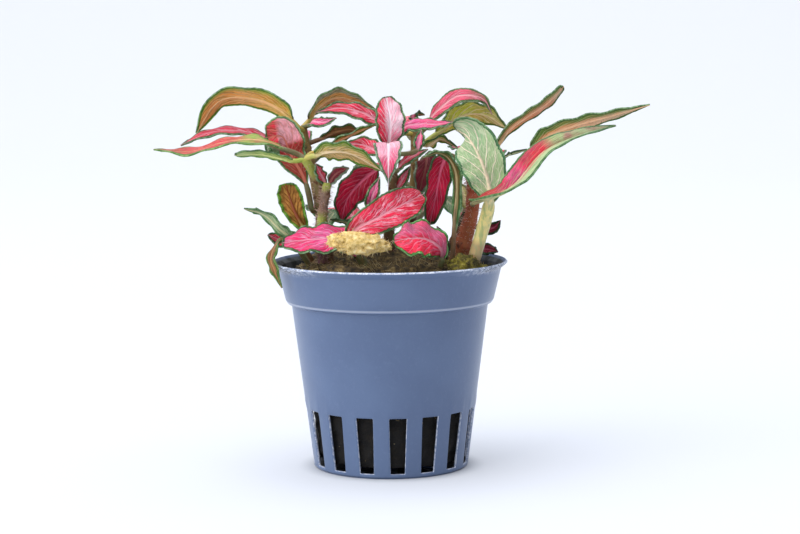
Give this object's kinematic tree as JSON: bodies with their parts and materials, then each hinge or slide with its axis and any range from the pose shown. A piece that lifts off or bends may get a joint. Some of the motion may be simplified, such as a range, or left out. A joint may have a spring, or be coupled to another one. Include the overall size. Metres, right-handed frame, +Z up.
{
  "type": "potted nerve plant",
  "caption": "Small nerve plant with waved crimson and pale green leaves on arching stems, rooted in a rock wool plug in a tapered, slotted plastic net pot.",
  "frame": {"origin": "centre of the flat ring under the pot that it stands on", "axes": "+Z up along the pot's axis; the side that the picture shows faces -Y; +X to that side's right"},
  "size_m": [0.1141, 0.0618, 0.0891],
  "materials": {
    "pot_plastic": "satin",
    "rock_wool_moss": "matte",
    "rock_wool_bare": "matte",
    "stem": "matte",
    "leaf_crimson": "satin",
    "leaf_pink": "satin",
    "leaf_dark_red": "satin",
    "leaf_pale_green": "satin",
    "leaf_yellow_green": "satin",
    "leaf_rust": "satin"
  },
  "bodies": {
    "root": {"pot": "pot_plastic", "stem_left": "stem", "stem_left_hairy": "stem", "stem_back_left": "stem", "stem_centre": "stem", "stem_back": "stem", "stem_right_hairy": "stem", "stem_back_right": "stem", "rock_wool_plug": "rock_wool_moss", "rock_wool_tuft": "rock_wool_bare", "leaf_left_arch": "leaf_rust", "leaf_left_red": "leaf_crimson", "leaf_left_long": "leaf_dark_red", "leaf_left_pale": "leaf_yellow_green", "leaf_left_peach": "leaf_yellow_green", "leaf_left_tall": "leaf_crimson", "leaf_left_brown": "leaf_rust", "leaf_left_low": "leaf_pale_green", "leaf_left_crimson": "leaf_crimson", "leaf_left_hanging": "leaf_rust", "leaf_front_left": "leaf_pink", "leaf_centre_big": "leaf_crimson", "leaf_centre_dark": "leaf_dark_red", "leaf_centre_curled": "leaf_pale_green", "leaf_centre_small": "leaf_pink", "leaf_top_upright": "leaf_pink", "leaf_top_drooping": "leaf_pink", "leaf_back_arch": "leaf_rust", "leaf_back_red": "leaf_crimson", "leaf_back_pink": "leaf_pink", "leaf_back_dark": "leaf_rust", "leaf_back_edge": "leaf_pale_green", "leaf_back_bright": "leaf_crimson", "leaf_back_small": "leaf_rust", "leaf_top_flat": "leaf_pink", "leaf_upper_right": "leaf_crimson", "leaf_right_yellow": "leaf_yellow_green", "leaf_right_big": "leaf_pale_green", "leaf_right_long": "leaf_pale_green", "leaf_right_far": "leaf_rust", "leaf_right_narrow": "leaf_yellow_green", "leaf_right_arch": "leaf_pale_green", "leaf_right_hanging": "leaf_crimson", "leaf_right_dusky": "leaf_dark_red", "leaf_front_right": "leaf_crimson", "leaf_front_sliver": "leaf_dark_red", "leaf_right_bit": "leaf_dark_red", "leaf_right_low": "leaf_dark_red", "leaf_centre_red": "leaf_crimson", "leaf_centre_strip": "leaf_pink", "leaf_centre_cream": "leaf_dark_red", "leaf_right_veined": "leaf_yellow_green", "leaf_right_inner": "leaf_dark_red", "leaf_right_tip": "leaf_pale_green", "leaf_rear_top": "leaf_crimson", "leaf_rear_left": "leaf_pink", "leaf_rear_right": "leaf_crimson", "leaf_rear_left_low": "leaf_crimson", "leaf_rear_right_low": "leaf_pink", "leaf_rear_mid": "leaf_crimson"}
  },
  "joints": []
}
